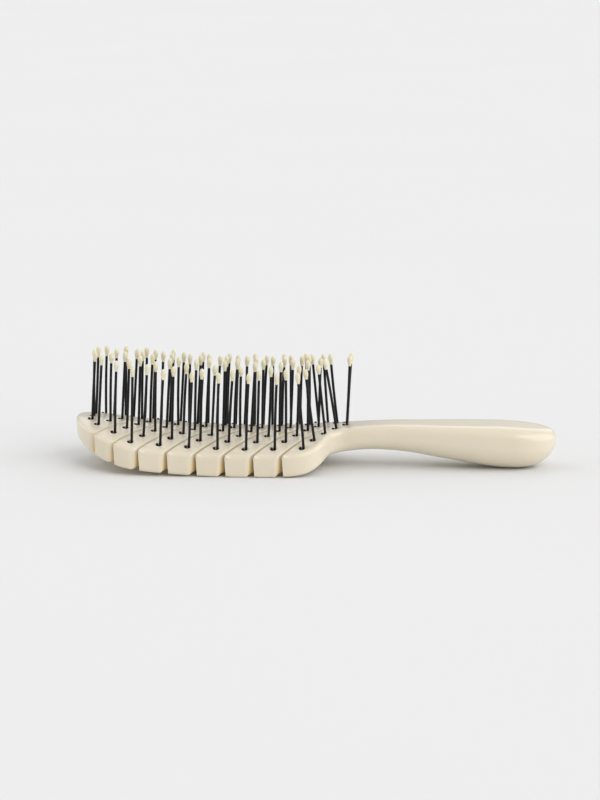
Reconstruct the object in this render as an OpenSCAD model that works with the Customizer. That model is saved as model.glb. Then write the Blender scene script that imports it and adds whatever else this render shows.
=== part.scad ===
// Vented detangling paddle brush: one thick slotted moulding with a
// turned-up tip and a short flat-topped handle, carrying ten chevron lines
// of folded nylon pins with drop-shaped tips.
// Units are millimetres. +X runs to the handle end, +Y across, +Z up.
// The origin is on the floor under the middle of the overall length.

/* [Moulding] */
// overall length from head tip to handle end
overall_length = 220; // [215:1:225]
// half of the head's full width
head_half_width = 30.8; // [30:0.1:32]
// height of the head's top surface at its lowest point on the centre line
head_top_height = 16.57; // [16.3:0.01:17]
// thickness of the moulding on the centre line of the head
head_thickness = 11; // [10.5:0.1:11.5]
// lengthwise radius of the hollow head, centre above the pins
length_radius = 482; // [460:1:520]
// crosswise radius of the arched head, centre below
cross_radius = 70.5; // [68:0.5:76]
// crosswise radius of the arched underside
under_radius = 76.5; // [74:0.5:82]
// radius on the top and bottom edges of the head
head_edge_radius = 2; // [1.5:0.1:2.5]
// height of the handle's flat top face
handle_top_height = 20; // [19.5:0.1:20.5]

/* [Slots] */
// width of a slot at floor height, measured square to it
slot_low_width = 2.1; // [1.9:0.1:2.3]
// how much narrower a slot gets with every millimetre of height
slot_taper = 0.073; // [0.05:0.001:0.08]
// angle between a slot and the crosswise direction
slot_angle = 35.66; // [34:0.1:37]
// distance from the centre line to the slots' rounded inner ends
slot_start = 5; // [4.5:0.1:5.5]
// distance along the brush from a line's middle pin to the next slot's inner end
slot_lead = 3.19; // [2.9:0.01:3.5]
// length of the rounding on the blunt corner at a slot's mouth
mouth_reach = 1.8; // [1:0.1:2]

/* [Pin layout] */
// distance between two chevron lines along the head
line_pitch = 12.92; // [12.8:0.01:13]
// distance between two rows of pins across the head
row_pitch = 6.3; // [6.1:0.05:6.4]
// how far a line falls back towards the tip at each row
line_sweep = 4.6; // [4.3:0.02:4.8]
// position of the seventh line's middle pin along the brush
seventh_line_x = -25.15; // [-26:0.01:-24]

/* [Pins] */
// diameter of the nylon filament
pin_diameter = 1.15; // [1.05:0.05:1.2]
// distance between the free leg and the short leg of one filament
leg_spacing = 1.5; // [1.45:0.05:1.55]
// diameter of the blind hole that holds one folded filament
hole_diameter = 3; // [2.9:0.05:3.1]
// depth of the blind hole
hole_depth = 5.5; // [5:0.1:6]
// free length of a middle-row pin, surface to top of its tip
pin_length = 32; // [31:0.1:33]
// extra free length of the outermost rows
outer_extra_length = 2.3; // [1:0.1:2.5]
// how much shorter the pins get with every line towards the tip
tipward_shortening = 0.2; // [0:0.05:0.3]
// lean of the pins towards the handle, in degrees
comb_lean = 2.4; // [0:0.1:3]
// scatter of that lean from pin to pin, in degrees
lean_scatter = 1.2; // [0:0.1:1.3]
// how far the short cut leg stands above the surface
stub_height = 0.7; // [0.3:0.1:1.2]

/* [Pin tips] */
// largest diameter of a drop-shaped tip
tip_diameter = 2.3; // [2:0.05:2.4]
// length of a drop-shaped tip
tip_length = 5.2; // [4.8:0.1:5.6]

/* [Hidden] */
$fn = 48;
tip_x = -overall_length / 2;
end_x = overall_length / 2;
lowest_x = -30.3;          // where the hollow head is lowest
tip_round_length = 33;     // half ellipse that closes the head's outline
end_round_length = 20;     // half ellipse that closes the handle's outline
end_patch = 0.08;          // share of the width left at the very ends
line_count = 10;
outer_step = 4;            // rows from the middle row to the outermost
twin = 5;                  // step name of the last line's second middle pin, one row over
wall_fit = 0.02;           // clearance of pieces pressed into one another
swivel_gap = 0.15;         // gap between a free leg and its fixed root
anchor_thickness = 0.3;
anchor_height = 1.4;
anchor_bite = 0.35;        // how far the anchor cuts into each hole wall
tip_cover = 4.1;           // length of pin inside its tip
slot_floor = -2;           // the slot cutters reach from here
slot_ceiling = 23;         // up to here
slot_reach = 50;           // length of a slot cutter, past the outline
mouth_height = 10;         // height at which the slot mouths are rounded
mouth_overlap = 0.35;      // how far the rounding cutters run into free air
shortened_lines = 5;       // the pins before this line are shortened
last_combed_line = 6.5;    // the comb lean fades out over the lines after this
fading_lines = 3;          // within this many lines
faded_share = 0.92;        // down to all but this share of it
line_phase = 245;          // degrees a line or a row adds to the scatter wave,
row_phase = 179;           // so that neighbouring pins lean differently
right_phase = 90;
side_line_phase = 101;     // and the same for the sideways scatter
side_row_phase = 53;
front_lift = 0.1;          // swivel axis of the first line above its outer holes
handle_half_width = 13.6;
hole_overshoot = 3;        // the hole cutters run this far above the surface
pin_radius = pin_diameter / 2;

// Smooth curves through key stations, each [x, value, slope].
// top of the moulding on the centre line from the shoulder on
neck_top = [
    [8, top_arc(8), (8 - lowest_x) / length_radius],
    [40, handle_top_height, 0],
    [80, handle_top_height, 0],
    [98, 19.1, -0.09],
    [end_x, 17.6, -0.16]
];
// underside of the moulding on the centre line
neck_bottom = [
    [0, top_arc(0) - head_thickness, 0.06],
    [16, 7.5, 0.06],
    [28, 7.7, -0.04],
    [48, 5.9, -0.19],
    [67, 2.8, -0.17],
    [88, 0, 0],
    [end_x, 0.6, 0.05]
];
// half width from the head's straight side over the shoulder to the handle
side_line = [
    [-14, head_half_width, 0],
    [-3.3, 29.1, -0.38],
    [3.7, 23.6, -1.45],
    [7.4, 14.6, -2.5],
    [10.8, 10.9, -0.42],
    [20, 9.9, -0.03],
    [32, 9.8, 0.02],
    [55, 11.8, 0.12],
    [75, 13.5, 0.04],
    [90, handle_half_width, 0]
];
// share of the head's crosswise arch that is still there
arch_line = [[-5, 1, 0], [22, 0, 0]];
// radius of the top edges
top_edge_line = [[-5, head_edge_radius, 0], [30, 2.6, 0], [70, 3, 0], [end_x, 4, 0]];
// the underside edges are quarter ellipses: their height, and how far they
// reach in from the side
low_edge_line = [[-5, head_edge_radius, 0], [20, 5, 0.1], [75, 10, 0], [end_x, 9.5, 0]];
low_reach_line = [
    [-5, head_edge_radius, 0],
    [10, 3.5, 0.3],
    [24, 8.6, 0.15],
    [40, 10, 0.08],
    [60, 11.6, 0.05],
    [80, 12.9, 0],
    [end_x, 12.9, 0]
];

function segment(keys, x, i = 0) =
    i >= len(keys) - 2 || x < keys[i + 1][0] ? i : segment(keys, x, i + 1);
function along(keys, x) =
    x <= keys[0][0] ? keys[0][1] :
    x >= keys[len(keys) - 1][0] ? keys[len(keys) - 1][1] :
    let (
        a = keys[segment(keys, x)],
        b = keys[segment(keys, x) + 1],
        run = b[0] - a[0],
        s = (x - a[0]) / run
    )
    a[1] * (1 + 2 * s) * pow(1 - s, 2) + a[2] * run * s * pow(1 - s, 2)
    + b[1] * s * s * (3 - 2 * s) + b[2] * run * s * s * (s - 1);

// Fraction of a width or height kept close to an end: a quarter ellipse that
// leaves a small flat patch at the very end.
function closing(distance, reach) =
    distance >= reach ? 1 : max(end_patch, sqrt(max(0, 1 - pow(1 - distance / reach, 2))));
function top_arc(x) = head_top_height + pow(x - lowest_x, 2) / (2 * length_radius);
function ease_down(x) = 0.004 * pow(min(0, x + 92), 2);
function top_line(x) = x < 8 ? top_arc(x) - ease_down(x) : along(neck_top, x);
function bottom_line(x) =
    x < 0 ? top_arc(x) - ease_down(x) - head_thickness : along(neck_bottom, x);
function half_width(x) =
    x < tip_x + tip_round_length ? head_half_width * closing(x - tip_x, tip_round_length)
    : x > end_x - end_round_length ? handle_half_width * closing(end_x - x, end_round_length)
    : x < side_line[0][0] ? head_half_width : along(side_line, x);
function arch(x) = x < arch_line[0][0] ? 1 : along(arch_line, x);

// Height of the pin side of the head at a point.
function pin_side(x, y) = top_line(x) - arch(x) * y * y / (2 * cross_radius);

function upper_closing(x) = min(closing(x - tip_x, 3), closing(end_x - x, 6));
function lower_closing(x) = min(closing(x - tip_x, 3), closing(end_x - x, 22));

// Height that the two ends close in on.
function middle_height(x) = bottom_line(x) + 0.6 * (top_line(x) - bottom_line(x));

// Half of one cross-section, from top centre down to bottom centre.
function half_section(x) =
    let (
        waist = middle_height(x),
        high = waist + (top_line(x) - waist) * upper_closing(x),
        low = waist - (waist - bottom_line(x)) * lower_closing(x),
        w = half_width(x),
        upper = min(along(top_edge_line, x), 0.95 * w, 0.48 * (high - low)),
        lower = min(along(low_edge_line, x), 0.95 * w, 0.62 * (high - low)),
        reach = min(along(low_reach_line, x), 0.95 * w),
        tall = min(upper, 0.95 * (high - low - lower)),
        flat = concat(
            [for (i = [0 : 4]) [(w - tall) * i / 5, high]],
            [for (a = [90 : -22.5 : 0]) [w - tall + tall * cos(a), high - tall + tall * sin(a)]],
            [for (a = [0 : -15 : -90]) [w - reach + reach * cos(a), low + lower + lower * sin(a)]],
            [for (i = [3 : -1 : 0]) [(w - reach) * i / 4, low]]
        )
    )
    [for (p = flat)
        let (share = (p[1] - low) / (high - low))
        [p[0], p[1] - arch(x) * p[0] * p[0] * (share / (2 * cross_radius) + (1 - share) / (2 * under_radius))]
    ];
function section(x) =
    let (half = half_section(x), last = len(half) - 1)
    concat(
        [for (p = half) [x, p[0], p[1]]],
        [for (i = [last - 1 : -1 : 1]) [x, -half[i][0], half[i][1]]]
    );

stations = concat(
    [for (a = [0, 5, 10, 16, 23, 31, 40, 50, 60, 72]) tip_x + tip_round_length * (1 - cos(a))],
    [for (x = [tip_x + tip_round_length : 7 : -16]) x],
    [for (x = [-13 : 3 : -4]) x],
    [for (x = [-2 : 1.5 : 13]) x],
    [for (x = [15.5 : 3.5 : 40]) x],
    [for (x = [45 : 5 : 85]) x],
    [for (a = [90 : -9 : 27]) end_x - end_round_length * (1 - cos(a))],
    [for (a = [18, 10, 0]) end_x - end_round_length * (1 - cos(a))]
);

// The first line is a straight row of three pins, the others are chevrons.
function line_x(line) = seventh_line_x + (line - 7) * line_pitch;
function steps(line) = min(outer_step, line);
function row(step) = step == twin ? 1 : step;
function pin_x(line, step) =
    line_x(line) - (line == 1 || step == twin ? 0 : line_sweep * abs(step));
function pin_y(step) = row_pitch * row(step);
function pin_surface(line, step) = pin_side(pin_x(line, step), pin_y(step));

// The free legs of one half line swivel on one straight axis that passes
// as close as it can to every hole mouth of that half line.
bow = pow(row_pitch, 2) / (2 * cross_radius) - pow(line_sweep, 2) / (2 * length_radius);
function lift(count) = bow * floor(pow(count - 1, 2) / 4) / 2;
function pivot_z(line, step) =
    line == 1 ? pin_surface(1, 1) + front_lift :
    step == 0 || step == twin ? pin_surface(line, 0) :
    let (
        count = steps(line),
        side = sign(step),
        first = pin_surface(line, side),
        last = pin_surface(line, side * count)
    )
    first + (last - first) * (abs(step) - 1) / (count - 1) + lift(count);

// Lean of each pin towards the handle, in degrees. The last line has been
// combed over towards the head, the others stand nearly straight.
neck_lean = [-4.5, -7.3, -6, -9.7, 2.4, -6.1, -4, -5.5, -3, 2.2];
function fading(line) =
    1 - faded_share * pow(max(0, (line - last_combed_line) / fading_lines), 2);
function scatter(line, step) =
    lean_scatter * sin(line_phase * line + row_phase * step + (step > 0 ? right_phase : 0));
function lean(line, step) =
    line == line_count ? neck_lean[step + outer_step]
    : comb_lean * fading(line) + scatter(line, step);
function side_lean(line, step) =
    lean_scatter * sin(side_line_phase * line - side_row_phase * step);
function free_length(line, step) =
    pin_length + outer_extra_length * pow(row(step) / outer_step, 2)
    - tipward_shortening * max(0, shortened_lines - line);

module at_leg(line, step) {
    translate([pin_x(line, step) + leg_spacing / 2, pin_y(step), pivot_z(line, step)])
        rotate([side_lean(line, step), lean(line, step), 0])
            children();
}

module free_leg(line, step) {
    reach = free_length(line, step) - tip_length + tip_cover;
    at_leg(line, step) {
        cylinder(h = reach, r = pin_radius, $fn = 24);
        sphere(r = pin_radius, $fn = 24);
    }
}

module drop_tip(line, step) {
    at_leg(line, step)
        translate([0, 0, free_length(line, step) - tip_length])
            rotate_extrude($fn = 32)
                polygon(drop_profile);
}

// Outline of half a drop with the bore for the pin left open below.
belly = 0.6;
bore_radius = pin_radius + wall_fit / 2;
drop_profile = concat(
    [[0, tip_length], [0, tip_cover + wall_fit], [bore_radius, tip_cover + wall_fit], [bore_radius, 0]],
    [for (i = [0 : 7])
        let (s = i / 8)
        [bore_radius + 0.1 + (tip_diameter / 2 - bore_radius - 0.1) * (1 - cos(180 * s)) / 2,
            belly * tip_length * s]
    ],
    [for (a = [0 : 15 : 75])
        [tip_diameter / 2 * cos(a), tip_length * (belly + (1 - belly) * sin(a))]
    ]
);

// Steps of one hinged group. Left and right are as seen from the handle with
// the pins up: side -1 is left, +1 is right, and the middle pin has side 0.
// The first line is one group of three, and the last line has two middle pins.
function group(line, side) =
    line == 1 ? [-1, 0, 1] :
    side != 0 ? [for (k = [1 : steps(line)]) side * k] :
    line == line_count ? [0, twin] : [0];
function all_steps(line) =
    concat([for (k = [-steps(line) : steps(line)]) k], line == line_count ? [twin] : []);

module legs_of(line, side) {
    for (step = group(line, side))
        free_leg(line, step);
}

module tips_of(line, side) {
    for (step = group(line, side))
        drop_tip(line, step);
}

module each_hole() {
    for (line = [1 : line_count])
        for (step = all_steps(line))
            translate([pin_x(line, step), pin_y(step), pin_surface(line, step) - hole_depth])
                children();
}

// Folded end of every filament: what is left of the long leg below the
// swivel, the fold at the bottom of the hole, and the short cut leg.
module pin_root(line, step) {
    floor_z = pin_surface(line, step) - hole_depth;
    fold_z = pin_radius + leg_spacing / 2 + 0.05;
    long_top = pivot_z(line, step) - pin_radius - swivel_gap - floor_z;
    translate([pin_x(line, step), pin_y(step), floor_z]) {
        translate([leg_spacing / 2, 0, fold_z])
            cylinder(h = long_top - fold_z, r = pin_radius, $fn = 20);
        translate([-leg_spacing / 2, 0, fold_z])
            cylinder(h = hole_depth + stub_height - fold_z, r = pin_radius, $fn = 20);
        translate([0, 0, fold_z])
            rotate([-90, 0, 0])
                rotate_extrude(angle = 180, $fn = 32)
                    translate([leg_spacing / 2, 0])
                        circle(r = pin_radius, $fn = 20);
    }
}

module pin_roots() {
    color([0.08, 0.08, 0.09])
        for (line = [1 : line_count])
            for (step = all_steps(line))
                pin_root(line, step);
}

module anchor(extra) {
    width = hole_diameter + 2 * anchor_bite + extra;
    height = anchor_height + extra;
    translate([-(anchor_thickness + extra) / 2, -width / 2, pin_radius + leg_spacing / 2 + 0.4 - extra / 2])
        cube([anchor_thickness + extra, width, height]);
}

module anchor_plates() {
    color([0.78, 0.66, 0.36])
        each_hole()
            anchor(0);
}

// The slots are wedges: narrow at the pin side, wider at the underside.
function slot_width(z) = slot_low_width - slot_taper * z;
function slot_x(line) = line_x(line) + slot_lead;

module slot(line, side) {
    low = slot_width(slot_floor) / 2;
    high = slot_width(slot_ceiling) / 2;
    points = concat(
        [for (p = [[-low, 0], [low, 0], [low, slot_reach], [-low, slot_reach]])
            [p[0], p[1], slot_floor]],
        [for (p = [[-high, 0], [high, 0], [high, slot_reach], [-high, slot_reach]])
            [p[0], p[1], slot_ceiling]]
    );
    faces = concat(
        [[0, 1, 2, 3], [7, 6, 5, 4]],
        [for (i = [0 : 3]) let (j = (i + 1) % 4) [i, i + 4, j + 4, j]]
    );
    translate([slot_x(line), side * slot_start, 0])
        rotate([0, 0, side > 0 ? slot_angle : 180 - slot_angle])
            union() {
                translate([0, 0, slot_floor])
                    cylinder(h = slot_ceiling - slot_floor, r1 = low, r2 = high, $fn = 32);
                polyhedron(points, faces);
            }
}

// Each slot's wall on the tip side meets the outline in a blunt corner, which
// is rounded. All of this is worked out for the side with positive y.
outwards = [-sin(slot_angle), cos(slot_angle)];
across = [cos(slot_angle), sin(slot_angle)];
function wall_point(line, t) =
    [slot_x(line), slot_start] + outwards * t - across * slot_width(mouth_height) / 2;
function wall_end(line, low = 0, high = 45, rounds = 24) =
    let (t = (low + high) / 2, p = wall_point(line, t))
    rounds == 0 ? t
    : p[1] < half_width(p[0]) ? wall_end(line, t, high, rounds - 1)
    : wall_end(line, low, t, rounds - 1);

module mouth_rounding(line, side) {
    corner = wall_point(line, wall_end(line));
    run = [-1, half_width(corner[0] - 0.5) - half_width(corner[0] + 0.5)];
    tipwards = run / norm(run);
    out = [tipwards[1], -tipwards[0]];
    first = corner + tipwards * mouth_reach;
    last = corner - outwards * mouth_reach;
    outline = concat(
        [for (s = [0 : 0.2 : 1])
            first * pow(1 - s, 2) + corner * 2 * s * (1 - s) + last * pow(s, 2)],
        [
            last + across * mouth_overlap,
            corner + (across + out) * mouth_overlap,
            first + out * mouth_overlap
        ]
    );
    translate([0, 0, slot_floor])
        linear_extrude(slot_ceiling - slot_floor)
            polygon([for (p = outline) [p[0], side * p[1]]]);
}

module moulding_loft() {
    rings = [for (x = stations) section(x)];
    count = len(rings[0]);
    last = (len(stations) - 1) * count;
    tip_centre = len(stations) * count;
    points = concat(
        [for (ring = rings) each ring],
        [[tip_x, 0, middle_height(tip_x)], [end_x, 0, middle_height(end_x)]]
    );
    faces = concat(
        [for (i = [0 : count - 1]) [tip_centre, (i + 1) % count, i]],
        [for (s = [0 : len(stations) - 2])
            for (i = [0 : count - 1])
                each let (
                    a = s * count + i,
                    b = s * count + (i + 1) % count,
                    c = a + count,
                    d = b + count
                )
                [[a, d, c], [a, b, d]]
        ],
        [for (i = [0 : count - 1]) [tip_centre + 1, last + i, last + (i + 1) % count]]
    );
    polyhedron(points, faces);
}

module body() {
    color([0.93, 0.89, 0.78])
        difference() {
            moulding_loft();
            for (line = [2 : line_count - 1])
                for (side = [-1, 1]) {
                    slot(line, side);
                    mouth_rounding(line, side);
                }
            each_hole()
                cylinder(h = hole_depth + hole_overshoot, r = hole_diameter / 2, $fn = 24);
            each_hole()
                anchor(2 * wall_fit);
        }
}

module pin_group(line, side) {
    color([0.1, 0.1, 0.11])
        legs_of(line, side);
}

module tip_group(line, side) {
    color([0.88, 0.84, 0.7])
        tips_of(line, side);
}

body();
pin_roots();
anchor_plates();
pin_group(1, 0);  // front_pins
tip_group(1, 0);  // front_tips
for (line = [2 : line_count]) {
    pin_group(line, -1);
    tip_group(line, -1);
    pin_group(line, 1);
    tip_group(line, 1);
    pin_group(line, 0);
    tip_group(line, 0);
}
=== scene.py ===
import math
import random

import bpy
import numpy as np
from mathutils import Matrix, Vector
from mathutils.geometry import delaunay_2d_cdt
from mathutils.kdtree import KDTree


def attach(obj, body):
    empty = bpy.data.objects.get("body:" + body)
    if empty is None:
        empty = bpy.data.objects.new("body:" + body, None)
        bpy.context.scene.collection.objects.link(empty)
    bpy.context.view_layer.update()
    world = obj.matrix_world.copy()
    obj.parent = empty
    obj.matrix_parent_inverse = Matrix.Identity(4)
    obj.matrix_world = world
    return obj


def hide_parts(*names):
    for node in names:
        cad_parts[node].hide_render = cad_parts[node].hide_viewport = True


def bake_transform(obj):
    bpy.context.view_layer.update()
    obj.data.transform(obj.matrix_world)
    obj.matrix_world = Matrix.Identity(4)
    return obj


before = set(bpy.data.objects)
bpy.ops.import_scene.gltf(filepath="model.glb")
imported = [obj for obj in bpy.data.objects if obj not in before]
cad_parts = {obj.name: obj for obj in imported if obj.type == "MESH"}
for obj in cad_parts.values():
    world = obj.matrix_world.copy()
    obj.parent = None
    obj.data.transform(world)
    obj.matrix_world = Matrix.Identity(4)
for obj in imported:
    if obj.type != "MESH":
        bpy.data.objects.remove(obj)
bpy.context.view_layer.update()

MM = 0.001          # lengths below are in millimetres until a mesh is made

# ---------------------------------------------------------------- dimensions
TIP_X, END_X = -110.0, 110.0
HEAD_HALF_WIDTH = 30.8
HEAD_TOP = 16.57
HEAD_THICKNESS = 11.0
LENGTH_RADIUS = 482.0
CROSS_RADIUS = 70.5
UNDER_RADIUS = 76.5
LOWEST_X = -30.3
TIP_FLATTENS_FROM, TIP_FLATTENING = -92, 0.004   # the tip curls up a little less from here
NECK_FROM = 8.0     # the neck's own curves start here on top
NECK_LOW_FROM = 0.0  # and here underneath
TIP_ROUND = 33.0
END_ROUND = 20.0
END_HALF_WIDTH = 13.6
HANDLE_TOP = 20.0
LOWEST_Z = 0.025    # the underside just clears the floor

# a slot is cut from below by a tapered blade: narrow on top, wider underneath
SLOT_LOW_WIDTH, SLOT_TAPER = 2.45, 0.095
SLOT_ANGLE = math.radians(35.66)
SLOT_START, SLOT_LEAD = 5.0, 3.19
LINE_PITCH, ROW_PITCH, LINE_SWEEP = 12.92, 6.3, 4.6
SEVENTH_LINE_X = -25.15
LINES, OUTER_STEP = 10, 4
TWIN = 5            # step name of the last line's second middle pin, one row over

PIN_RADIUS = 0.575
FILAMENT_RADIUS = 0.605   # as drawn, a hair thicker than the frame's pins
LEG_OFFSET = 0.75
HOLE_RADIUS, HOLE_DEPTH, HOLE_RIM = 1.42, 5.5, 0.14
PIN_LENGTH, OUTER_EXTRA, TIPWARD_SHORTENING, SHORTENED_LINES = 32.0, 2.3, 0.2, 5
TIP_RADIUS, TIP_LENGTH, TIP_COVER = 1.15, 5.2, 4.1
SWIVEL_GAP, FRONT_LIFT = 0.15, 0.1
COMB_LEAN, LEAN_SCATTER = 2.4, 1.2
LINE_PHASE, ROW_PHASE, RIGHT_PHASE = 245, 179, 90   # spread the scatter over the pins
SIDE_LINE_PHASE, SIDE_ROW_PHASE = 101, 53
LAST_COMBED_LINE, FADING_LINES, FADED_SHARE = 6.5, 3, 0.92
NECK_LEAN = [-4.5, -7.3, -6, -9.7, 2.4, -6.1, -4, -5.5, -3, 3.2]

# key stations of the smooth profile curves: (x, value, slope)
NECK_TOP = [(NECK_FROM, HEAD_TOP + (NECK_FROM - LOWEST_X) ** 2 / (2 * LENGTH_RADIUS),
             (NECK_FROM - LOWEST_X) / LENGTH_RADIUS),
            (40, HANDLE_TOP, 0), (80, HANDLE_TOP, 0), (98, 19.1, -0.09), (END_X, 17.6, -0.16)]
NECK_BOTTOM = [(NECK_LOW_FROM, HEAD_TOP + LOWEST_X ** 2 / (2 * LENGTH_RADIUS) - HEAD_THICKNESS, 0.06),
               (16, 7.5, 0.06), (28, 7.7, -0.04), (48, 5.9, -0.19), (67, 2.8, -0.17), (88, 0, 0),
               (END_X, 0.6, 0.05)]
SIDE = [(-14, HEAD_HALF_WIDTH, 0), (-3.3, 29.1, -0.38), (3.7, 23.6, -1.45), (7.4, 14.6, -2.5),
        (10.8, 10.9, -0.42), (20, 9.9, -0.03), (32, 9.8, 0.02), (55, 11.8, 0.12), (75, 13.5, 0.04),
        (90, END_HALF_WIDTH, 0)]
ARCH = [(-5, 1, 0), (22, 0, 0)]
TOP_EDGE = [(TIP_X, 1.3, 0), (-80, 1.9, 0), (-5, 1.9, 0), (30, 3.8, 0), (70, 5.0, 0), (92, 5.4, 0),
            (END_X, 3.8, -0.1)]
# the underside edges are quarter ellipses: their height and their reach
LOW_EDGE = [(TIP_X, 6.0, -0.35), (-98, 2.4, -0.1), (-84, 2.0, 0), (-5, 2.0, 0), (20, 5, 0.1),
            (75, 10, 0), (END_X, 9.5, 0)]
LOW_REACH = [(TIP_X, 5.5, -0.3), (-98, 2.4, -0.1), (-84, 2.0, 0), (-5, 2.0, 0), (10, 3.5, 0.3),
             (24, 8.6, 0.15), (40, 10, 0.08), (60, 11.6, 0.05), (80, 12.9, 0), (END_X, 12.9, 0)]
LOW_EDGE_SHARE = 0.5                     # the low edge takes at most this share of the height
RIM_ROUNDING_END = 5.0                   # slots end before here, so only the head needs its rim lowered
END_CLOSING = 20.0                       # the underside curls up over this length at the end
CLOSING_FROM = 50.0                      # nothing curls up before here
END_FULLNESS = 2.4                       # 2 would be a plain ellipse
LEAST_CLOSING = 0.08                     # share of the height kept at the very end
WAIST_SHARE = 0.6                        # height share that the end closes in on
SLOT_TOP_EDGE, SLOT_LOW_EDGE = 0.5, 0.9
MOUTH_LOW_EDGE = 2.4                     # underside edge of a slot's tip-side wall at its mouth
BLUNT_REACH = {2: 4.6, 3: 3.4, 4: 2.6}   # corners in plan where a slot meets the outline
PLAIN_BLUNT_REACH, SHARP_RADIUS = 1.7, 0.3
CORNER_EDGE, CORNER_GROWTH = 0.22, 0.7   # top edges get thin towards the sharp corners
NARROW, WIDE = 0.6, 2.4                  # slot widths that the plan is built for

# how finely the moulding is meshed
TIP_POINTS, END_POINTS = 60, 40          # points round the tip and round the handle end, one side
SIDE_SPACING, SHOULDER_SPACING = 1.0, 0.45
SIDE_STOPS = 0.4                         # the side's points stop this far before the round end
SHOULDER = (-6, 14)                      # where the side is spaced more finely
RIM_SPACING, WALL_SPACING, CORNER_POINTS = 0.65, 1.2, 10
TANGENT_STEP = 0.2                       # the outline's direction is taken over twice this
TOP_ANGLES = (0, 12, 26, 42, 58, 74, 90)           # rows of the upper edge, flat to wall
LOW_ANGLES = (0, 9, 18, 28, 38, 49, 61, 75, 90)    # rows of the lower edge
WALL_ROWS = 5
HOLE_SEGMENTS, HOLE_ANGLES = 24, (30, 60, 90)
HOLE_LIP = 1.4                           # depth of the ring between a hole's rim and its floor
HOLE_FLOOR_LIFT = 0.05                   # a hole is drawn this much shallower than HOLE_DEPTH
TOP_GRID, TOP_CLEAR = 2.2, 0.9           # grid of the flat top, and its distance from edges
LOW_GRID, LOW_CLEAR = 2.6, 1.1
GRID_ROW = 0.866                         # row spacing of a grid of equal triangles
HOLE_CLEAR_SHARE = 0.6
MERGE_WITHIN = 1e-5

# the handle's lower edge travels towards a spine that stops short of the end
SPINE_END, SPINE_SPREAD, SPINE_FROM, SPINE_RUN = 14, 3, 90, 20
SPINE_STARTS, SPINE_EASE = 8, 14
SPINE_REACH = 0.95                       # share of the way to the spine that an edge may take

# painted shade of the slot walls: golden-brown colour standing in for the shade and warm glow deep in the
# slots
SLOT_SHADE_HEIGHT = 9.0                        # height at which the distance from the rim is taken
SLOT_SHADE_ROWS, SLOT_SHADE_BLUNT, SLOT_SHADE_START, SLOT_SHADE_RUN = 4, 1.8, 0.2, 2.2

# how the pins are meshed and how they differ from one another
PIN_SIDES, PIN_RINGS, DROP_SIDES = 14, 18, 20
PIN_BOW_X, PIN_BOW_Y = 0.22, 0.12
DROP_SHIFT = 0.06
DROP_FATNESS, DROP_TALLNESS = (0.955, 1.0), (0.93, 0.995)   # shares of TIP_RADIUS, TIP_LENGTH
DROP_BELLY = (0.56, 0.66)                # where a drop is widest, as a share of its length
DROP_NECK_SLIP = (0.0, 0.25)             # how much further up a drop's neck may start
DROP_NECK_GAP, DROP_NECK_LIP, DROP_SHOULDER = 0.03, 0.08, 0.1
DROP_STEPS, CROWN_ANGLES, CROWN_POWER = 9, (0, 14, 28, 42, 55, 67, 78), 0.94
GAP_TO_ROOT = 0.4                        # share of the swivel gap that the drawn pin bridges
ROOT_STEPS = 8
LEG_STANDS = (0.05, 0.65)                # how far a short leg stands out of its hole
LEG_TILT, LEG_SHIFT = (-0.12, 0.02), 0.03
LEG_CHAMFER, LEG_END_SHARE = 0.12, 0.84
FOLD_GAP = 0.05                          # the fold stays this far above the full hole depth


def along(keys, x):
    """Smooth curve through key stations, for an array of x."""
    x = np.asarray(x, float)
    ks = np.array([k[0] for k in keys], float)
    i = np.clip(np.searchsorted(ks, x, side="right") - 1, 0, len(keys) - 2)
    a = np.array(keys, float)[i]
    b = np.array(keys, float)[i + 1]
    run = b[..., 0] - a[..., 0]
    s = np.clip((x - a[..., 0]) / run, 0, 1)
    return (a[..., 1] * (1 + 2 * s) * (1 - s) ** 2 + a[..., 2] * run * s * (1 - s) ** 2
            + b[..., 1] * s * s * (3 - 2 * s) + b[..., 2] * run * s * s * (s - 1))


def head_arc(x):
    x = np.asarray(x, float)
    less = TIP_FLATTENING * np.minimum(0, x - TIP_FLATTENS_FROM) ** 2
    return HEAD_TOP + (x - LOWEST_X) ** 2 / (2 * LENGTH_RADIUS) - less


def top_line(x):
    return np.where(np.asarray(x) < NECK_FROM, head_arc(x), along(NECK_TOP, x))


def closing(distance, reach):
    """Share of a height left near an end, a slightly squared quarter ellipse."""
    s = np.clip(np.asarray(distance, float) / reach, 0, 1)
    return np.maximum(LEAST_CLOSING, (1 - (1 - s) ** END_FULLNESS) ** (1 / END_FULLNESS))


def bottom_line(x):
    x = np.asarray(x, float)
    plain = np.where(x < NECK_LOW_FROM, head_arc(x) - HEAD_THICKNESS, along(NECK_BOTTOM, x))
    waist = plain + WAIST_SHARE * (top_line(x) - plain)
    closed = waist - (waist - plain) * closing(END_X - x, END_CLOSING)
    return np.where(x < CLOSING_FROM, plain, closed)


def arch(x):
    return along(ARCH, x)


def top_z(x, y):
    return top_line(x) - arch(x) * y * y / (2 * CROSS_RADIUS)


def bottom_z(x, y):
    return bottom_line(x) - arch(x) * y * y / (2 * UNDER_RADIUS)


# ------------------------------------------------------------ the pin layout
def line_x(line):
    return SEVENTH_LINE_X + (line - 7) * LINE_PITCH


def steps(line):
    return min(OUTER_STEP, line)


def row(step):
    return 1 if step == TWIN else step


def pin_x(line, step):
    return line_x(line) - (0 if line == 1 or step == TWIN else LINE_SWEEP * abs(step))


def pin_y(step):
    return ROW_PITCH * row(step)


def pin_surface(line, step):
    return float(top_z(pin_x(line, step), pin_y(step)))


BOW = ROW_PITCH ** 2 / (2 * CROSS_RADIUS) - LINE_SWEEP ** 2 / (2 * LENGTH_RADIUS)


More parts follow.
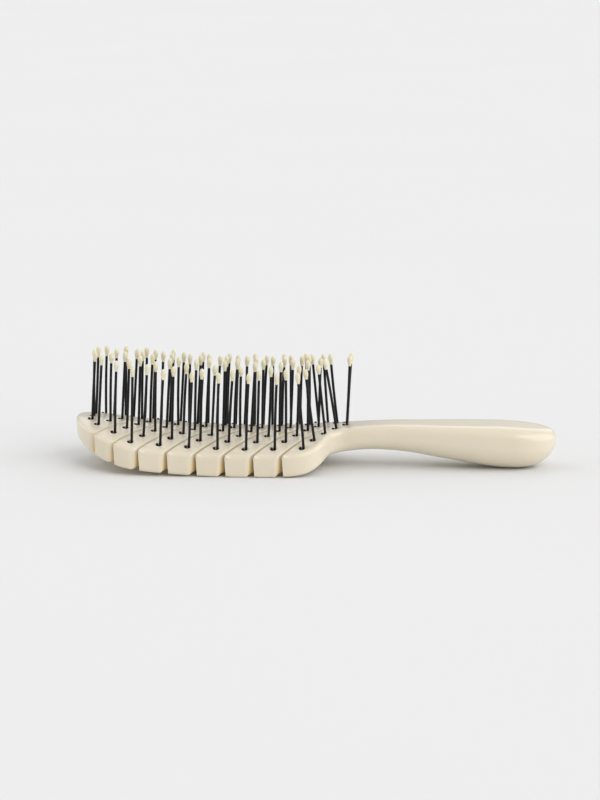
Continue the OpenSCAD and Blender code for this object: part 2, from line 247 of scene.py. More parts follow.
def pivot_z(line, step):
    """Height of the swivel axis of this pin's half line at the pin."""
    if line == 1:
        return pin_surface(1, 1) + FRONT_LIFT
    if step in (0, TWIN):
        return pin_surface(line, 0)
    count, side = steps(line), int(math.copysign(1, step))
    first, last = pin_surface(line, side), pin_surface(line, side * count)
    middle_rise = BOW * ((count - 1) ** 2 // 4) / 2
    return first + (last - first) * (abs(step) - 1) / (count - 1) + middle_rise


def leans(line, step):
    """Lean about X and about Y in degrees, the same rule as the frame's pins."""
    along_phase = LINE_PHASE * line + ROW_PHASE * step + (RIGHT_PHASE if step > 0 else 0)
    side_phase = SIDE_LINE_PHASE * line - SIDE_ROW_PHASE * step
    fading = 1 - FADED_SHARE * (max(0, line - LAST_COMBED_LINE) / FADING_LINES) ** 2
    combed = COMB_LEAN * fading + LEAN_SCATTER * math.sin(math.radians(along_phase))
    sideways = LEAN_SCATTER * math.sin(math.radians(side_phase))
    return sideways, NECK_LEAN[step + OUTER_STEP] if line == LINES else combed


def leg_frame(line, step):
    """Matrix of a pin: its origin on the swivel axis, its Z up the leg, in millimetres."""
    about_x, about_y = leans(line, step)
    turn = Matrix.Rotation(math.radians(about_y), 4, "Y")
    turn = turn @ Matrix.Rotation(math.radians(about_x), 4, "X")
    foot = (pin_x(line, step) + LEG_OFFSET, pin_y(step), pivot_z(line, step))
    return Matrix.Translation(foot) @ turn


def free_length(line, step):
    shorter = TIPWARD_SHORTENING * max(0, SHORTENED_LINES - line)
    return PIN_LENGTH + OUTER_EXTRA * (row(step) / OUTER_STEP) ** 2 - shorter


ALL_PINS = [(line, step) for line in range(1, LINES + 1)
            for step in range(-steps(line), steps(line) + 1)]
ALL_PINS.append((LINES, TWIN))


# ------------------------------------------------------- outline of the head
def outline_side():
    """Dense outline of one side from the tip to the handle end, as (x, half width)."""
    pts = []
    for k in range(TIP_POINTS + 1):
        a = math.radians(90 * k / TIP_POINTS)
        pts.append((TIP_X + TIP_ROUND * (1 - math.cos(a)), HEAD_HALF_WIDTH * math.sin(a)))
    x = pts[-1][0] + SIDE_SPACING
    while x < END_X - END_ROUND - SIDE_STOPS:
        pts.append((x, HEAD_HALF_WIDTH if x < SIDE[0][0] else float(along(SIDE, x))))
        x += SHOULDER_SPACING if SHOULDER[0] < x < SHOULDER[1] else SIDE_SPACING
    for k in range(END_POINTS + 1):
        turned = math.radians(90 * k / END_POINTS)
        left = math.radians(90 - 90 * k / END_POINTS)
        x = END_X - END_ROUND * (1 - math.sin(turned))
        pts.append((x, END_HALF_WIDTH * math.sin(left)))
    return np.array(pts)


def quadratic(a, corner, b, count):
    """Inner points of a curve from a to b that heads for the corner."""
    marks = [k / count for k in range(1, count)]
    return [(1 - s) ** 2 * a + 2 * s * (1 - s) * corner + s * s * b for s in marks]


OUTLINE = outline_side()


def half_contour(width, counts):
    """Outline of the side with positive y, cut by slots of one width, from tip to
    handle end. Returns the points, for each its share of slot edge (0 on the outline,
    1 in a slot) and its nearness to a blunt corner (0 to 1), and the numbers of the
    points at sharp corners. counts keeps the number of points of each stretch between
    calls."""
    dist = np.concatenate([[0], np.cumsum(np.hypot(*np.diff(OUTLINE, axis=0).T))])

    def at(d):
        return np.array([np.interp(d, dist, OUTLINE[:, 0]), np.interp(d, dist, OUTLINE[:, 1])])

    def direction(d):
        v = at(d + TANGENT_STEP) - at(d - TANGENT_STEP)
        return v / np.linalg.norm(v)

    out_dir = np.array([-math.sin(SLOT_ANGLE), math.cos(SLOT_ANGLE)])
    square = np.array([math.cos(SLOT_ANGLE), math.sin(SLOT_ANGLE)])
    pts, share, blunt, sharp = [], [], [], []
    reached, fresh = 0.0, not counts

    def stretch(key, length, spacing):
        if fresh:
            counts[key] = max(3, int(length / spacing))
        return counts[key]

    def add(p, s, at_blunt=0.0):
        pts.append(np.array(p, float))
        share.append(s)
        blunt.append(at_blunt)

    for line in range(2, LINES):
        start = np.array([line_x(line) + SLOT_LEAD, SLOT_START])
        meets = []
        for s in (-1, 1):
            off = (OUTLINE - start) @ square - s * width / 2
            ahead = (OUTLINE - start) @ out_dir > 0
            k = [i for i in range(len(off) - 1) if off[i] < 0 <= off[i + 1] and ahead[i]][-1]
            meets.append(dist[k] + (dist[k + 1] - dist[k]) * -off[k] / (off[k + 1] - off[k]))
        # the block's outline up to the blunt corner, and round it into the slot
        blunt_reach = BLUNT_REACH.get(line, PLAIN_BLUNT_REACH)
        leave = meets[0] - blunt_reach
        count = stretch(("rim", line), leave - reached, RIM_SPACING)
        for k in range(count):
            add(at(reached + (leave - reached) * k / count), 0)
        corner = at(meets[0])
        a, b = at(leave), corner - out_dir * blunt_reach
        add(a, 0)
        for k, p in enumerate(quadratic(a, corner, b, CORNER_POINTS)):
            add(p, (k + 1) / CORNER_POINTS, (k + 1) / CORNER_POINTS)
        add(b, 1, 1)
        # inwards along the wall, round the end, and out along the other wall
        first = start - square * width / 2
        wall = (b - first) @ out_dir
        count = stretch(("in", line), wall, WALL_SPACING)
        for k in range(1, count):
            add(b - out_dir * wall * k / count, 1, 1 - k / count)
        for k in range(CORNER_POINTS + 1):
            t = math.pi * k / CORNER_POINTS
            add(start - (square * math.cos(t) + out_dir * math.sin(t)) * width / 2, 1)
        turn = math.acos(float(np.clip(direction(meets[1]) @ out_dir, -1, 1)))
        back = SHARP_RADIUS * math.tan(turn / 2)
        corner = at(meets[1])
        a, b = corner - out_dir * back, at(meets[1] + back)
        first = start + square * width / 2
        wall = (a - first) @ out_dir
        count = stretch(("out", line), wall, WALL_SPACING)
        for k in range(1, count):
            add(first + out_dir * wall * k / count, 1)
        add(a, 1)
        for k, p in enumerate(quadratic(a, corner, b, CORNER_POINTS)):
            add(p, 1 - (k + 1) / CORNER_POINTS)
        sharp.append(len(pts) - CORNER_POINTS // 2)
        reached = meets[1] + back
    count = stretch("handle", dist[-1] - reached, RIM_SPACING)
    for k in range(count + 1):
        add(at(reached + (dist[-1] - reached) * k / count), 0)
    return np.array(pts), np.array(share), np.array(blunt), sharp


def both_sides(pts, mirror):
    """Closes a half contour with its mirror image."""
    near = pts * mirror
    return np.concatenate([near, pts[-2:0:-1]])


class Plan:
    """Closed plan outline of the moulding, counter-clockwise from above, which can be
    asked for at any height because the slots are narrower on top."""

    def __init__(self):
        counts = {}
        narrow, share, blunt, sharp = half_contour(NARROW, counts)
        wide = half_contour(WIDE, counts)[0]
        self.narrow = both_sides(narrow, np.array([1, -1]))
        self.wide = both_sides(wide, np.array([1, -1]))
        self.share = both_sides(share[:, None], np.array([1]))[:, 0]
        self.blunt = both_sides(blunt[:, None], np.array([1]))[:, 0]
        self.sharp = sharp + [len(self.share) - i for i in sharp]

    def at(self, z):
        """The outline at height z, one height for each point."""
        width = SLOT_LOW_WIDTH - SLOT_TAPER * z
        t = ((width - NARROW) / (WIDE - NARROW))[:, None]
        loop = self.narrow + (self.wide - self.narrow) * t
        loop[:, 1] = np.clip(loop[:, 1], -HEAD_HALF_WIDTH, HEAD_HALF_WIDTH)
        return loop

    def inward(self, loop):
        """Unit vectors square to the outline, pointing into the material."""
        fwd = np.roll(loop, -1, axis=0) - loop
        fwd /= np.linalg.norm(fwd, axis=1)[:, None]
        tangent = fwd + np.roll(fwd, 1, axis=0)
        tangent /= np.linalg.norm(tangent, axis=1)[:, None]
        return np.stack([-tangent[:, 1], tangent[:, 0]], 1)

    def edge(self, loop, key_line, in_slot):
        """Edge radius at each point: changes smoothly from the outline's to the slot's."""
        ease = self.share ** 2 * (3 - 2 * self.share)
        return along(key_line, loop[:, 0]) * (1 - ease) + in_slot * ease

    def corner_limit(self, loop):
        """Largest edge radius that does not fold over at the sharp corners."""
        gap = np.min([np.hypot(*(loop - loop[i]).T) for i in self.sharp], axis=0)
        return CORNER_EDGE + CORNER_GROWTH * gap


RIM_TREE = KDTree(2 * len(OUTLINE))
for number, (px, py) in enumerate(np.concatenate([OUTLINE, OUTLINE * [1, -1]])):
    RIM_TREE.insert((px, py, 0), number)
RIM_TREE.balance()


def rim_drop(points, reach_line, height_line):
    """How far the rounding of the uncut outline has lowered the surface at the points."""
    gap = np.array([RIM_TREE.find((p[0], p[1], 0))[2] for p in points])
    reach, height = along(reach_line, points[:, 0]), along(height_line, points[:, 0])
    short = np.clip(1 - gap / reach, 0, 1)
    drop = height * (1 - np.sqrt(1 - short ** 2))
    return np.where(points[:, 0] < RIM_ROUNDING_END, drop, 0)


def inside(points, loop):
    """Which of the points lie inside the closed loop."""
    hit = np.zeros(len(points), bool)
    x, y = points[:, 0], points[:, 1]
    for (x0, y0), (x1, y1) in zip(loop, np.roll(loop, -1, axis=0)):
        if y0 == y1:
            continue
        cross = ((y0 > y) != (y1 > y)) & (x < (x1 - x0) * (y - y0) / (y1 - y0) + x0)
        hit ^= cross
    return hit


def cap_faces(loop, holes, spacing, clear):
    """Triangulates the plan inside loop and outside the holes. Returns the extra inner
    points and the faces, which count loop points first, then hole points, then extras."""
    plan = np.concatenate([loop] + holes) if holes else loop
    tree = KDTree(len(plan))
    for i, p in enumerate(plan):
        tree.insert((p[0], p[1], 0), i)
    tree.balance()
    extra = []
    rows = int(2 * HEAD_HALF_WIDTH / (spacing * GRID_ROW)) + 2
    for r in range(rows):
        y = -HEAD_HALF_WIDTH + r * spacing * GRID_ROW
        for c in range(int((END_X - TIP_X) / spacing) + 1):
            x = TIP_X + (c + 0.5 * (r % 2)) * spacing
            if tree.find((x, y, 0))[2] > clear:
                extra.append((x, y))
    extra = np.array(extra)
    good = inside(extra, loop)
    for h in holes:
        centre = h.mean(0)
        free = np.hypot(*(h[0] - centre)) + clear * HOLE_CLEAR_SHARE
        good &= np.hypot(*(extra - centre).T) > free
    extra = extra[good]
    verts = np.concatenate([plan, extra])
    edges, first = [], 0
    for ring in [loop] + holes:
        n = len(ring)
        edges += [(first + i, first + (i + 1) % n) for i in range(n)]
        first += n
    result = delaunay_2d_cdt([Vector(v) for v in verts], edges, [], 0, MERGE_WITHIN)
    coords, faces, origin = result[0], result[2], result[3]
    owner = [o[0] if o else None for o in origin]
    centres = np.array([[sum(coords[i][k] for i in f) / 3 for k in (0, 1)] for f in faces])
    good = inside(centres, loop)
    for h in holes:
        good &= np.hypot(*(centres - h.mean(0)).T) >= np.hypot(*(h[0] - h.mean(0)))
    out = []
    for f, keep in zip(faces, good):
        if keep and None not in [owner[i] for i in f]:
            a, b, c = (verts[owner[i]] for i in f)
            area = (b[0] - a[0]) * (c[1] - a[1]) - (b[1] - a[1]) * (c[0] - a[0])
            ids = [owner[i] for i in f]
            out.append(ids if area > 0 else ids[::-1])
    return extra, out


def make_object(name, verts, faces, body=None):
    """A mesh from points in millimetres."""
    mesh = bpy.data.meshes.new(name)
    mesh.from_pydata([tuple(float(c) * MM for c in v) for v in verts], [], faces)
    mesh.validate()
    mesh.polygons.foreach_set("use_smooth", [True] * len(mesh.polygons))
    obj = bpy.data.objects.new(name, mesh)
    bpy.context.scene.collection.objects.link(obj)
    if body:
        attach(obj, body)
    return obj


def edge_rows(loop, travel, level, radius, sign, rim, slotted, angles):
    """Rows of a rounded edge, from where it leaves the flat to the wall."""
    made = []
    for deg in angles:
        angle = math.radians(deg)
        p = loop + travel * (1 - math.sin(angle))
        p[:, 1] = np.clip(p[:, 1], -HEAD_HALF_WIDTH, HEAD_HALF_WIDTH)
        drop = radius * (1 - math.cos(angle))
        drop[slotted] = np.maximum(drop[slotted], rim_drop(p[slotted], *rim))
        made.append(np.column_stack([p, level(p[:, 0], p[:, 1]) - sign * drop]))
    return made


def upper_rows(plan):
    """Rows of the upper edge, held back at the sharp corners of the slots."""
    guess = plan.at(top_z(*plan.narrow.T))
    loop = plan.at(top_z(*guess.T))
    edge = np.minimum(plan.edge(loop, TOP_EDGE, SLOT_TOP_EDGE), plan.corner_limit(loop))
    travel = plan.inward(loop) * edge[:, None]
    return edge_rows(loop, travel, top_z, edge, 1, (TOP_EDGE, TOP_EDGE), plan.share > 0, TOP_ANGLES)


def lower_rows(plan):
    """Rows of the lower edge; on the handle it reaches in almost to the centre line."""
    loop = plan.at(bottom_z(*plan.wide.T))
    x = loop[:, 0]
    in_slot = SLOT_LOW_EDGE + (MOUTH_LOW_EDGE - SLOT_LOW_EDGE) * plan.blunt
    reach = np.minimum(plan.edge(loop, LOW_REACH, in_slot), SPINE_REACH * END_HALF_WIDTH)
    spine_x = np.minimum(x, END_X - SPINE_END + SPINE_SPREAD * (x - SPINE_FROM) / SPINE_RUN)
    toward = np.column_stack([spine_x, np.zeros(len(x))]) - loop
    away = np.linalg.norm(toward, axis=1)[:, None]
    toward = toward / np.maximum(away, 1e-6)
    ease = np.clip((x - SPINE_STARTS) / SPINE_EASE, 0, 1)[:, None]
    heading = plan.inward(loop) * (1 - ease) + toward * ease
    heading /= np.linalg.norm(heading, axis=1)[:, None]
    limited = np.where(x > SPINE_STARTS, np.minimum(reach, SPINE_REACH * away[:, 0]), reach)
    tall = top_z(*loop.T) - bottom_z(*loop.T)
    edge = np.minimum(plan.edge(loop, LOW_EDGE, in_slot), LOW_EDGE_SHARE * tall)
    travel = heading * limited[:, None]
    return edge_rows(loop, travel, bottom_z, edge, -1, (LOW_REACH, LOW_EDGE), plan.share > 0, LOW_ANGLES)


def hole_rows(line, step):
    """Rings of points of one blind hole, and the point in the middle of its floor."""
    turns = [2 * math.pi * k / HOLE_SEGMENTS for k in range(HOLE_SEGMENTS)]
    ring = np.array([[math.cos(t), math.sin(t)] for t in turns])
    centre = np.array([pin_x(line, step), pin_y(step)])
    mouth = centre + ring * (HOLE_RADIUS + HOLE_RIM)
    levels = []
    for deg in HOLE_ANGLES:
        angle = math.radians(deg)
        p = centre + ring * (HOLE_RADIUS + HOLE_RIM * (1 - math.sin(angle)))
        sunk = HOLE_RIM * (1 - math.cos(angle))
        levels.append(np.column_stack([p, top_z(p[:, 0], p[:, 1]) - sunk]))
    floor_z = pin_surface(line, step) - HOLE_DEPTH + HOLE_FLOOR_LIFT
    p = centre + ring * HOLE_RADIUS
    for z in (pin_surface(line, step) - HOLE_LIP, floor_z):
        levels.append(np.column_stack([p, np.full(HOLE_SEGMENTS, z)]))
    return mouth, levels, (centre[0], centre[1], floor_z)


def moulding():
    """The one-piece body: rounded edges, slots, blind holes, flat top and underside."""
    plan = Plan()
    n = len(plan.share)
    verts, faces = [], []
    rows = upper_rows(plan)
    last_upper = len(rows) - 1
    low = lower_rows(plan)
    wall_top, wall_foot = rows[-1][:, 2], low[-1][:, 2]
    for k in range(1, WALL_ROWS):
        level = wall_top + (wall_foot - wall_top) * k / WALL_ROWS
        rows.append(np.column_stack([plan.at(level), level]))
    rows += low[::-1]
    for row in rows:
        row[:, 2] = np.maximum(row[:, 2], LOWEST_Z)
        verts += [tuple(p) for p in row]
    for r in range(len(rows) - 1):
        for i in range(n):
            j = (i + 1) % n
            faces.append([r * n + i, (r + 1) * n + i, (r + 1) * n + j, r * n + j])

    # the flat top, with the blind holes of the pins
    holes = [hole_rows(line, step) for line, step in ALL_PINS]
    mouths = [mouth for mouth, levels, bottom in holes]
    extra, tris = cap_faces(np.array(rows[0])[:, :2], mouths, TOP_GRID, TOP_CLEAR)
    base = len(verts)
    ids = list(range(n))
    for mouth in mouths:
        for p in mouth:
            ids.append(len(verts))
            verts.append((p[0], p[1], float(top_z(p[0], p[1]))))
    for p, drop in zip(extra, rim_drop(extra, TOP_EDGE, TOP_EDGE)):
        ids.append(len(verts))
        verts.append((p[0], p[1], float(top_z(p[0], p[1]) - drop)))
    faces += [[ids[i] for i in t] for t in tris]
    for number, (mouth, levels, bottom) in enumerate(holes):
        ring = [base + number * HOLE_SEGMENTS + i for i in range(HOLE_SEGMENTS)]
        for level in levels:
            new = list(range(len(verts), len(verts) + HOLE_SEGMENTS))
            verts += [tuple(p) for p in level]
            for i in range(HOLE_SEGMENTS):
                j = (i + 1) % HOLE_SEGMENTS
                faces.append([ring[i], ring[j], new[j], new[i]])
            ring = new
        verts.append(bottom)
        for i in range(HOLE_SEGMENTS):
            faces.append([ring[i], ring[(i + 1) % HOLE_SEGMENTS], len(verts) - 1])

    # the underside
    last = (len(rows) - 1) * n
    extra, tris = cap_faces(np.array(rows[-1])[:, :2], [], LOW_GRID, LOW_CLEAR)
    ids = list(range(last, last + n))
    for p, drop in zip(extra, rim_drop(extra, LOW_REACH, LOW_EDGE)):
        ids.append(len(verts))
        verts.append((p[0], p[1], max(LOWEST_Z, float(bottom_z(p[0], p[1]) + drop))))
    faces += [[ids[i] for i in t][::-1] for t in tris]
    obj = make_object("moulding", verts, faces, "brush_body")

    # how deep inside a slot each point lies, which sets how much golden shade is painted onto the slot
    # walls
    shade_share = np.zeros(len(obj.data.vertices))
    middle = plan.at(np.full(n, SLOT_SHADE_HEIGHT))
    gap = np.array([RIM_TREE.find((p[0], p[1], 0))[2] for p in middle])
    # the painted shade grows from the slot's mouth inwards and from the top edge downwards
    inner = np.clip((gap + SLOT_SHADE_BLUNT * plan.blunt - SLOT_SHADE_START) / SLOT_SHADE_RUN, 0, 1)
    for r in range(len(rows)):
        fade = min(1, max(0, r - last_upper) / SLOT_SHADE_ROWS)
        shade_share[r * n:(r + 1) * n] = plan.share * inner * fade
    attribute = obj.data.attributes.new("painted_slot_shade", "FLOAT", "POINT")
    attribute.data.foreach_set("value", shade_share)
    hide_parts("body")
    return obj


# ------------------------------------------------------------------ the pins
def ring_faces(faces, base, rings, sides):
    """Adds the faces between neighbouring rings of points, numbered from base."""
    for i in range(rings - 1):
        low, high = base + i * sides, base + (i + 1) * sides
        for k in range(sides):
            j = (k + 1) % sides
            faces.append([low + k, low + j, high + j, high + k])


def ring_sweep(verts, faces, centres, radii, sides):
    """Adds a tube through the centres to verts and faces, closed at both ends."""
    base = len(verts)
    count = len(centres)
    for i, c in enumerate(centres):
        a = centres[max(0, i - 1)]
        b = centres[min(count - 1, i + 1)]
        t = (b - a).normalized()
        u = t.cross(Vector((0, 1, 0)))
        u = u.normalized() if u.length > 1e-3 else Vector((1, 0, 0))
        v = t.cross(u)
        for k in range(sides):
            w = 2 * math.pi * k / sides
            verts.append(tuple(c + (u * math.cos(w) + v * math.sin(w)) * radii[i]))
    ring_faces(faces, base, count, sides)
    faces.append([base + k for k in range(sides)][::-1])
    faces.append([base + (count - 1) * sides + k for k in range(sides)])


def group_of(line, side):
    """Names of the pins piece, tips piece and body of one group of pins."""
    if line == 1:
        return "front_pins", "front_tips", "front_line"
    if side == 0:
        return f"middle_pin_{line}", f"middle_tip_{line}", f"middle_line_{line}"
    word = "left" if side < 0 else "right"
    return f"{word}_pins_{line}", f"{word}_tips_{line}", f"{word}_line_{line}"


def members(line, side):
    """Steps of the pins in one group."""
    if line == 1:
        return [-1, 0, 1]
    if line == LINES and side == 0:
        return [0, TWIN]
    return [0] if side == 0 else [side * k for k in range(1, steps(line) + 1)]


def bead_profile(rng):
    """Outline of one dipped drop: (height, radius) from its neck up to its crown."""
    fat = TIP_RADIUS * rng.uniform(*DROP_FATNESS)
    tall = TIP_LENGTH * rng.uniform(*DROP_TALLNESS)
    belly = rng.uniform(*DROP_BELLY)
    neck = PIN_RADIUS + DROP_NECK_GAP
    low = TIP_LENGTH - tall + rng.uniform(*DROP_NECK_SLIP)
    out = [(low, neck), (low + DROP_NECK_LIP, neck + DROP_NECK_LIP)]
    for k in range(1, DROP_STEPS):
        s = k / DROP_STEPS
        swell = (fat - neck - DROP_SHOULDER) * (1 - math.cos(math.pi * s)) / 2
        out.append((low + (TIP_LENGTH * belly - low) * s, neck + DROP_SHOULDER + swell))
    crown = TIP_LENGTH * (1 - belly)
    for deg in CROWN_ANGLES:
        a = math.radians(deg)
        out.append((TIP_LENGTH * belly + crown * math.sin(a), fat * math.cos(a) ** CROWN_POWER))
    return out


def add_filament(verts, faces, place, line, step, rng):
    """Adds one free leg, a little bowed, from just above its root up into its drop."""
    low = -(PIN_RADIUS + SWIVEL_GAP * GAP_TO_ROOT)
    high = free_length(line, step) - TIP_LENGTH + TIP_COVER
    bow_x, bow_y = rng.uniform(-PIN_BOW_X, PIN_BOW_X), rng.uniform(-PIN_BOW_Y, PIN_BOW_Y)
    centres = []
    for k in range(PIN_RINGS + 1):
        s = k / PIN_RINGS
        sag = math.sin(math.pi * s) if s < 1 else 0
        centres.append(place @ Vector((bow_x * sag, bow_y * sag, low + (high - low) * s)))
    ring_sweep(verts, faces, centres, [FILAMENT_RADIUS] * len(centres), PIN_SIDES)


def add_drop(verts, faces, place, line, step, rng):
    """Adds one dipped drop whose crown sits slightly off the pin's axis."""
    profile = bead_profile(rng)
    off_x, off_y = rng.uniform(-DROP_SHIFT, DROP_SHIFT), rng.uniform(-DROP_SHIFT, DROP_SHIFT)
    top = free_length(line, step)
    base = len(verts)
    for h, r in profile:
        share = (h / TIP_LENGTH) ** 2
        for k in range(DROP_SIDES):
            w = 2 * math.pi * k / DROP_SIDES
            x, y = r * math.cos(w) + off_x * share, r * math.sin(w) + off_y * share
            verts.append(tuple(place @ Vector((x, y, top - TIP_LENGTH + h))))
    ring_faces(faces, base, len(profile), DROP_SIDES)
    faces.append([base + k for k in range(DROP_SIDES)][::-1])
    verts.append(tuple(place @ Vector((off_x, off_y, top))))
    crown = base + (len(profile) - 1) * DROP_SIDES
    for k in range(DROP_SIDES):
        faces.append([crown + k, crown + (k + 1) % DROP_SIDES, len(verts) - 1])


def pins_and_tips():
    """Every group of pins with its drops, the drops attached to the group's body."""
    pins, tips = [], []
    rng = random.Random(7)
    for line in range(1, LINES + 1):
        for side in ((0,) if line == 1 else (-1, 0, 1)):
            pin_name, tip_name, body = group_of(line, side)
            verts, faces, tip_verts, tip_faces = [], [], [], []
            places = [leg_frame(line, step) for step in members(line, side)]
            for step, place in zip(members(line, side), places):
                add_filament(verts, faces, place, line, step, rng)
                add_drop(tip_verts, tip_faces, place, line, step, rng)
            pin = make_object(pin_name + "_filament", verts, faces)
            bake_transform(pin)
            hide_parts(pin_name)
            tip = make_object(tip_name + "_drop", tip_verts, tip_faces, body)
            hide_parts(tip_name)
            pins.append(pin)
            tips.append(tip)
    return pins, tips


def roots():
    """Folded ends in the blind holes, with the short cut legs standing beside the pins."""
    rng = random.Random(23)
    verts, faces = [], []
    for line, step in ALL_PINS:
        x, y, surface = pin_x(line, step), pin_y(step), pin_surface(line, step)
        fold_z = surface - HOLE_DEPTH + PIN_RADIUS + LEG_OFFSET + FOLD_GAP
        long_top = pivot_z(line, step) - PIN_RADIUS - SWIVEL_GAP
        short_top = surface + rng.uniform(*LEG_STANDS)
        long_x, short_x = x + LEG_OFFSET, x - LEG_OFFSET
        path = [Vector((long_x, y, long_top)), Vector((long_x, y, (long_top + fold_z) / 2))]
        for k in range(ROOT_STEPS + 1):
            a = math.pi * k / ROOT_STEPS
            fold = (x + LEG_OFFSET * math.cos(a), y, fold_z - LEG_OFFSET * math.sin(a))
            path.append(Vector(fold))
        path.append(Vector((short_x, y, (fold_z + short_top) / 2)))
        short_x += rng.uniform(*LEG_TILT) / 2
        path.append(Vector((short_x, y, short_top - LEG_CHAMFER)))
        path.append(Vector((short_x, y + rng.uniform(-LEG_SHIFT, LEG_SHIFT), short_top)))
        radii = [PIN_RADIUS] * (len(path) - 1) + [PIN_RADIUS * LEG_END_SHARE]
        ring_sweep(verts, faces, path, radii, PIN_SIDES)
    obj = make_object("pin_roots_folded", verts, faces, "brush_body")
    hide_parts("pin_roots")
    return obj


# ----------------------------------------------------------------- materials
class Nodes:
    """A small helper that builds one material's node tree."""

    def __init__(self, name):
        self.material = bpy.data.materials.new(name)
        self.material.use_nodes = True
        self.tree = self.material.node_tree
        self.shader = self.tree.nodes["Principled BSDF"]
        self.coords = self.add("ShaderNodeTexCoord")

    def add(self, kind, **values):
        node = self.tree.nodes.new(kind)
        for key, value in values.items():
            if hasattr(node, key):
                setattr(node, key, value)
            else:
                node.inputs[key.replace("_", " ")].default_value = value
        return node

    def link(self, a, b):
        self.tree.links.new(a, b)

    def noise(self, scale, detail=2.0, rough=0.5, squeeze=(1, 1, 1)):
        place = self.add("ShaderNodeMapping")
        place.inputs["Scale"].default_value = squeeze
        self.link(self.coords.outputs["Object"], place.inputs["Vector"])
        n = self.add("ShaderNodeTexNoise")
        n.inputs["Scale"].default_value = scale
        n.inputs["Detail"].default_value = detail
        n.inputs["Roughness"].default_value = rough
        self.link(place.outputs["Vector"], n.inputs["Vector"])
        return n.outputs["Fac"]

    def span(self, value, low, high, start=0.3, stop=0.7):
        n = self.add("ShaderNodeMapRange")
        n.inputs["From Min"].default_value = start
        n.inputs["From Max"].default_value = stop
        n.inputs["To Min"].default_value = low
        n.inputs["To Max"].default_value = high
        self.link(value, n.inputs["Value"])
        return n.outputs["Result"]

    def tint(self, value, a, b, start=0.3, stop=0.7):
        n = self.add("ShaderNodeValToRGB")
        n.color_ramp.elements[0].position = start
        n.color_ramp.elements[1].position = stop
        n.color_ramp.elements[0].color = (*a, 1)
        n.color_ramp.elements[1].color = (*b, 1)
        self.link(value, n.inputs["Fac"])
        return n.outputs["Color"]

    def mix(self, share, a, b):
        n = self.add("ShaderNodeMix", data_type="RGBA")
        self.link(share, n.inputs[0])
        self.link(a, n.inputs[6])
        self.link(b, n.inputs[7])
        return n.outputs[2]

    def bump(self, value, strength, distance, onto=None):
        n = self.add("ShaderNodeBump")
        n.inputs["Strength"].default_value = strength
        n.inputs["Distance"].default_value = distance
        self.link(value, n.inputs["Height"])
        if onto:
            self.link(onto, n.inputs["Normal"])
        return n.outputs["Normal"]

    def set(self, **values):
        for key, value in values.items():
            self.shader.inputs[key.replace("_", " ")].default_value = value


def ivory_plastic():
    """Polished ivory plastic: a warm translucent body under a smooth clear skin, with golden-brown shade
    painted onto the slot walls.
    """
    m = Nodes("ivory_moulded_plastic")
    skin = m.tint(m.noise(28, 3), (0.730, 0.652, 0.506), (0.752, 0.678, 0.534))
    # golden-brown colour painted on the slot walls in place of the shade and warm glow deep in the slots
    wall = m.tint(m.noise(40, 2), (0.82, 0.63, 0.33), (0.86, 0.68, 0.38))
    shade_node = m.add("ShaderNodeAttribute", attribute_name="painted_slot_shade")
    m.link(m.mix(shade_node.outputs["Fac"], skin, wall), m.shader.inputs["Base Color"])
    m.link(m.span(m.noise(160, 4, 0.6), 0.30, 0.38), m.shader.inputs["Roughness"])
    m.link(m.span(m.noise(90, 3, 0.6), 0.07, 0.13), m.shader.inputs["Coat Roughness"])
    soft = m.bump(m.noise(45, 1), 0.02, 0.0002)
    m.link(m.bump(m.noise(700, 2, 0.6), 0.012, 0.00002, soft), m.shader.inputs["Normal"])
    m.set(IOR=1.49, Coat_Weight=0.7, Coat_IOR=1.5, Subsurface_Weight=0.2, Subsurface_Scale=0.0022)
    m.shader.inputs["Subsurface Radius"].default_value = (1.0, 0.62, 0.30)
    return m.material


def black_nylon():
    """Black filament with faint drawing lines along it."""
    m = Nodes("black_nylon_filament")
    black = m.tint(m.noise(260, 3), (0.0015, 0.0015, 0.002), (0.004, 0.0038, 0.0045))
    m.link(black, m.shader.inputs["Base Color"])
    m.link(m.span(m.noise(700, 3, 0.6, (1, 1, 0.12)), 0.34, 0.5), m.shader.inputs["Roughness"])
    m.link(m.bump(m.noise(2600, 2, 0.5, (1, 1, 0.06)), 0.25, 0.00004), m.shader.inputs["Normal"])
    m.set(IOR=1.45, Specular_IOR_Level=0.35)
    return m.material


def dipped_resin():
    """Slightly uneven cream resin that lets a little light through."""
    m = Nodes("dipped_tip_resin")
    m.link(m.tint(m.noise(120, 2), (0.72, 0.67, 0.475), (0.77, 0.72, 0.545)), m.shader.inputs["Base Color"])
    m.link(m.span(m.noise(900, 3), 0.3, 0.46), m.shader.inputs["Roughness"])
    m.link(m.bump(m.noise(1300, 2), 0.2, 0.00006), m.shader.inputs["Normal"])
    m.set(IOR=1.47, Subsurface_Weight=0.3, Subsurface_Scale=0.0012)
    m.shader.inputs["Subsurface Radius"].default_value = (1.0, 0.8, 0.45)
    return m.material


def brass():
    """Flat drawn brass of the anchor plates."""
    m = Nodes("flat_brass_wire")
    m.link(m.tint(m.noise(500, 3), (0.62, 0.46, 0.2), (0.74, 0.58, 0.3)), m.shader.inputs["Base Color"])
    m.link(m.span(m.noise(2500, 3, 0.6, (1, 0.1, 1)), 0.28, 0.45), m.shader.inputs["Roughness"])
    m.link(m.bump(m.noise(4000, 2, 0.5, (1, 0.05, 1)), 0.2, 0.00003), m.shader.inputs["Normal"])
    m.set(Metallic=1.0)
    return m.material


def give(obj, material):
    """Makes the material the object's only one."""
    obj.data.materials.clear()
    obj.data.materials.append(material)


body_obj = moulding()
pins, tips = pins_and_tips()
root_obj = roots()
give(body_obj, ivory_plastic())
nylon, resin = black_nylon(), dipped_resin()
for obj in pins + [root_obj]:
    give(obj, nylon)
for obj in tips:
    give(obj, resin)
give(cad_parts["anchor_plates"], brass())


# -------------------------------------------------------------------- studio
FLOOR_REACH = 40.0  # metres to each side


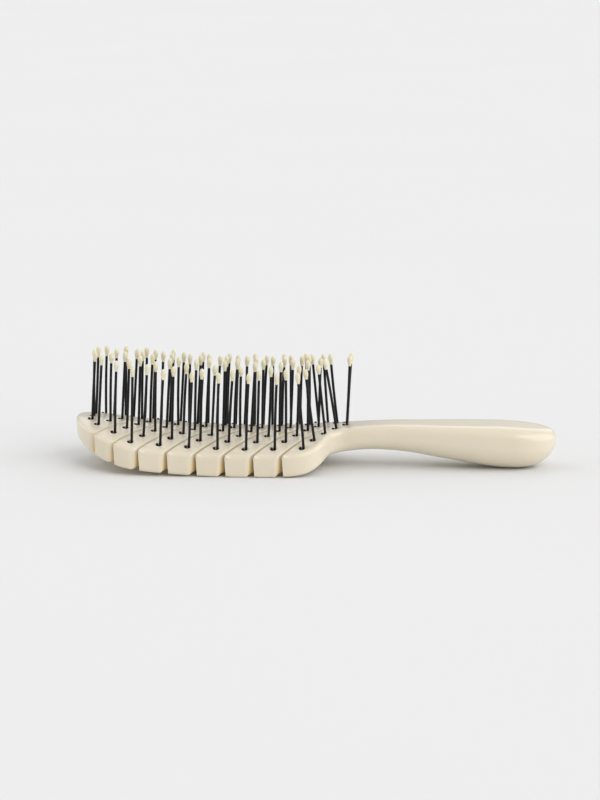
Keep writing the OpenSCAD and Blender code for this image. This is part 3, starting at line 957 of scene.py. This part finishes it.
def studio_floor():
    """A large, pale and matt floor, all but even in tone."""
    r = FLOOR_REACH
    obj = bpy.data.objects.new("studio_floor", bpy.data.meshes.new("studio_floor"))
    corners = [(-r, -r, 0), (r, -r, 0), (r, r, 0), (-r, r, 0)]
    obj.data.from_pydata(corners, [], [[0, 1, 2, 3]])
    bpy.context.scene.collection.objects.link(obj)
    m = Nodes("studio_paper")
    grey = m.tint(m.noise(3, 2), (0.777, 0.777, 0.777), (0.783, 0.783, 0.783))
    m.link(grey, m.shader.inputs["Base Color"])
    m.set(Roughness=1.0, Specular_IOR_Level=0.0)
    give(obj, m.material)


# soft lamps round the brush: the side it comes from, how wide it looks, its strength
LAMPS = {
    "key_right": ((0.90, -0.30, 0.30), 78, 2.20),
    "soft_box": ((0.36, -0.62, 0.70), 26, 0.50),
    "left": ((-0.90, 0.10, 0.42), 85, 1.38),
    "front": ((0.00, -1.00, 0.22), 55, 0.14),
    "top": ((0.00, 0.00, 1.00), 50, 0.24),
    "back": ((0.20, 0.80, 0.60), 50, 0.51),
}
SURROUND = 0.372    # even light from all sides


def studio_light():
    """A white surround and the soft lamps of LAMPS."""
    world = bpy.data.worlds.new("studio")
    bpy.context.scene.world = world
    world.use_nodes = True
    back = world.node_tree.nodes["Background"]
    back.inputs["Color"].default_value = (1, 1, 1, 1)
    back.inputs["Strength"].default_value = SURROUND
    for name, (towards, width, strength) in LAMPS.items():
        sun = bpy.data.lights.new(name, "SUN")
        sun.energy = strength
        sun.angle = math.radians(width)
        obj = bpy.data.objects.new(name, sun)
        bpy.context.scene.collection.objects.link(obj)
        obj.rotation_euler = Vector(towards).to_track_quat("Z", "Y").to_euler()


def camera():
    """The camera stands 1.15 m away, 11 degrees up, and a little towards the handle."""
    distance, elevation, turn = 1.150, 0.196, 0.059
    side, look_height = -0.0071, 0.029884
    data = bpy.data.cameras.new("camera")
    data.sensor_width, data.lens = 36, 113.16
    obj = bpy.data.objects.new("camera", data)
    bpy.context.scene.collection.objects.link(obj)
    spin = Matrix.Rotation(turn, 4, "Z")
    place = Vector((side, -distance * math.cos(elevation), look_height + distance * math.sin(elevation)))
    obj.matrix_world = spin @ Matrix.Translation(place) @ Matrix.Rotation(math.pi / 2 - elevation, 4, "X")
    bpy.context.scene.camera = obj


studio_floor()
studio_light()
camera()
bpy.context.scene.view_settings.view_transform = "Standard"
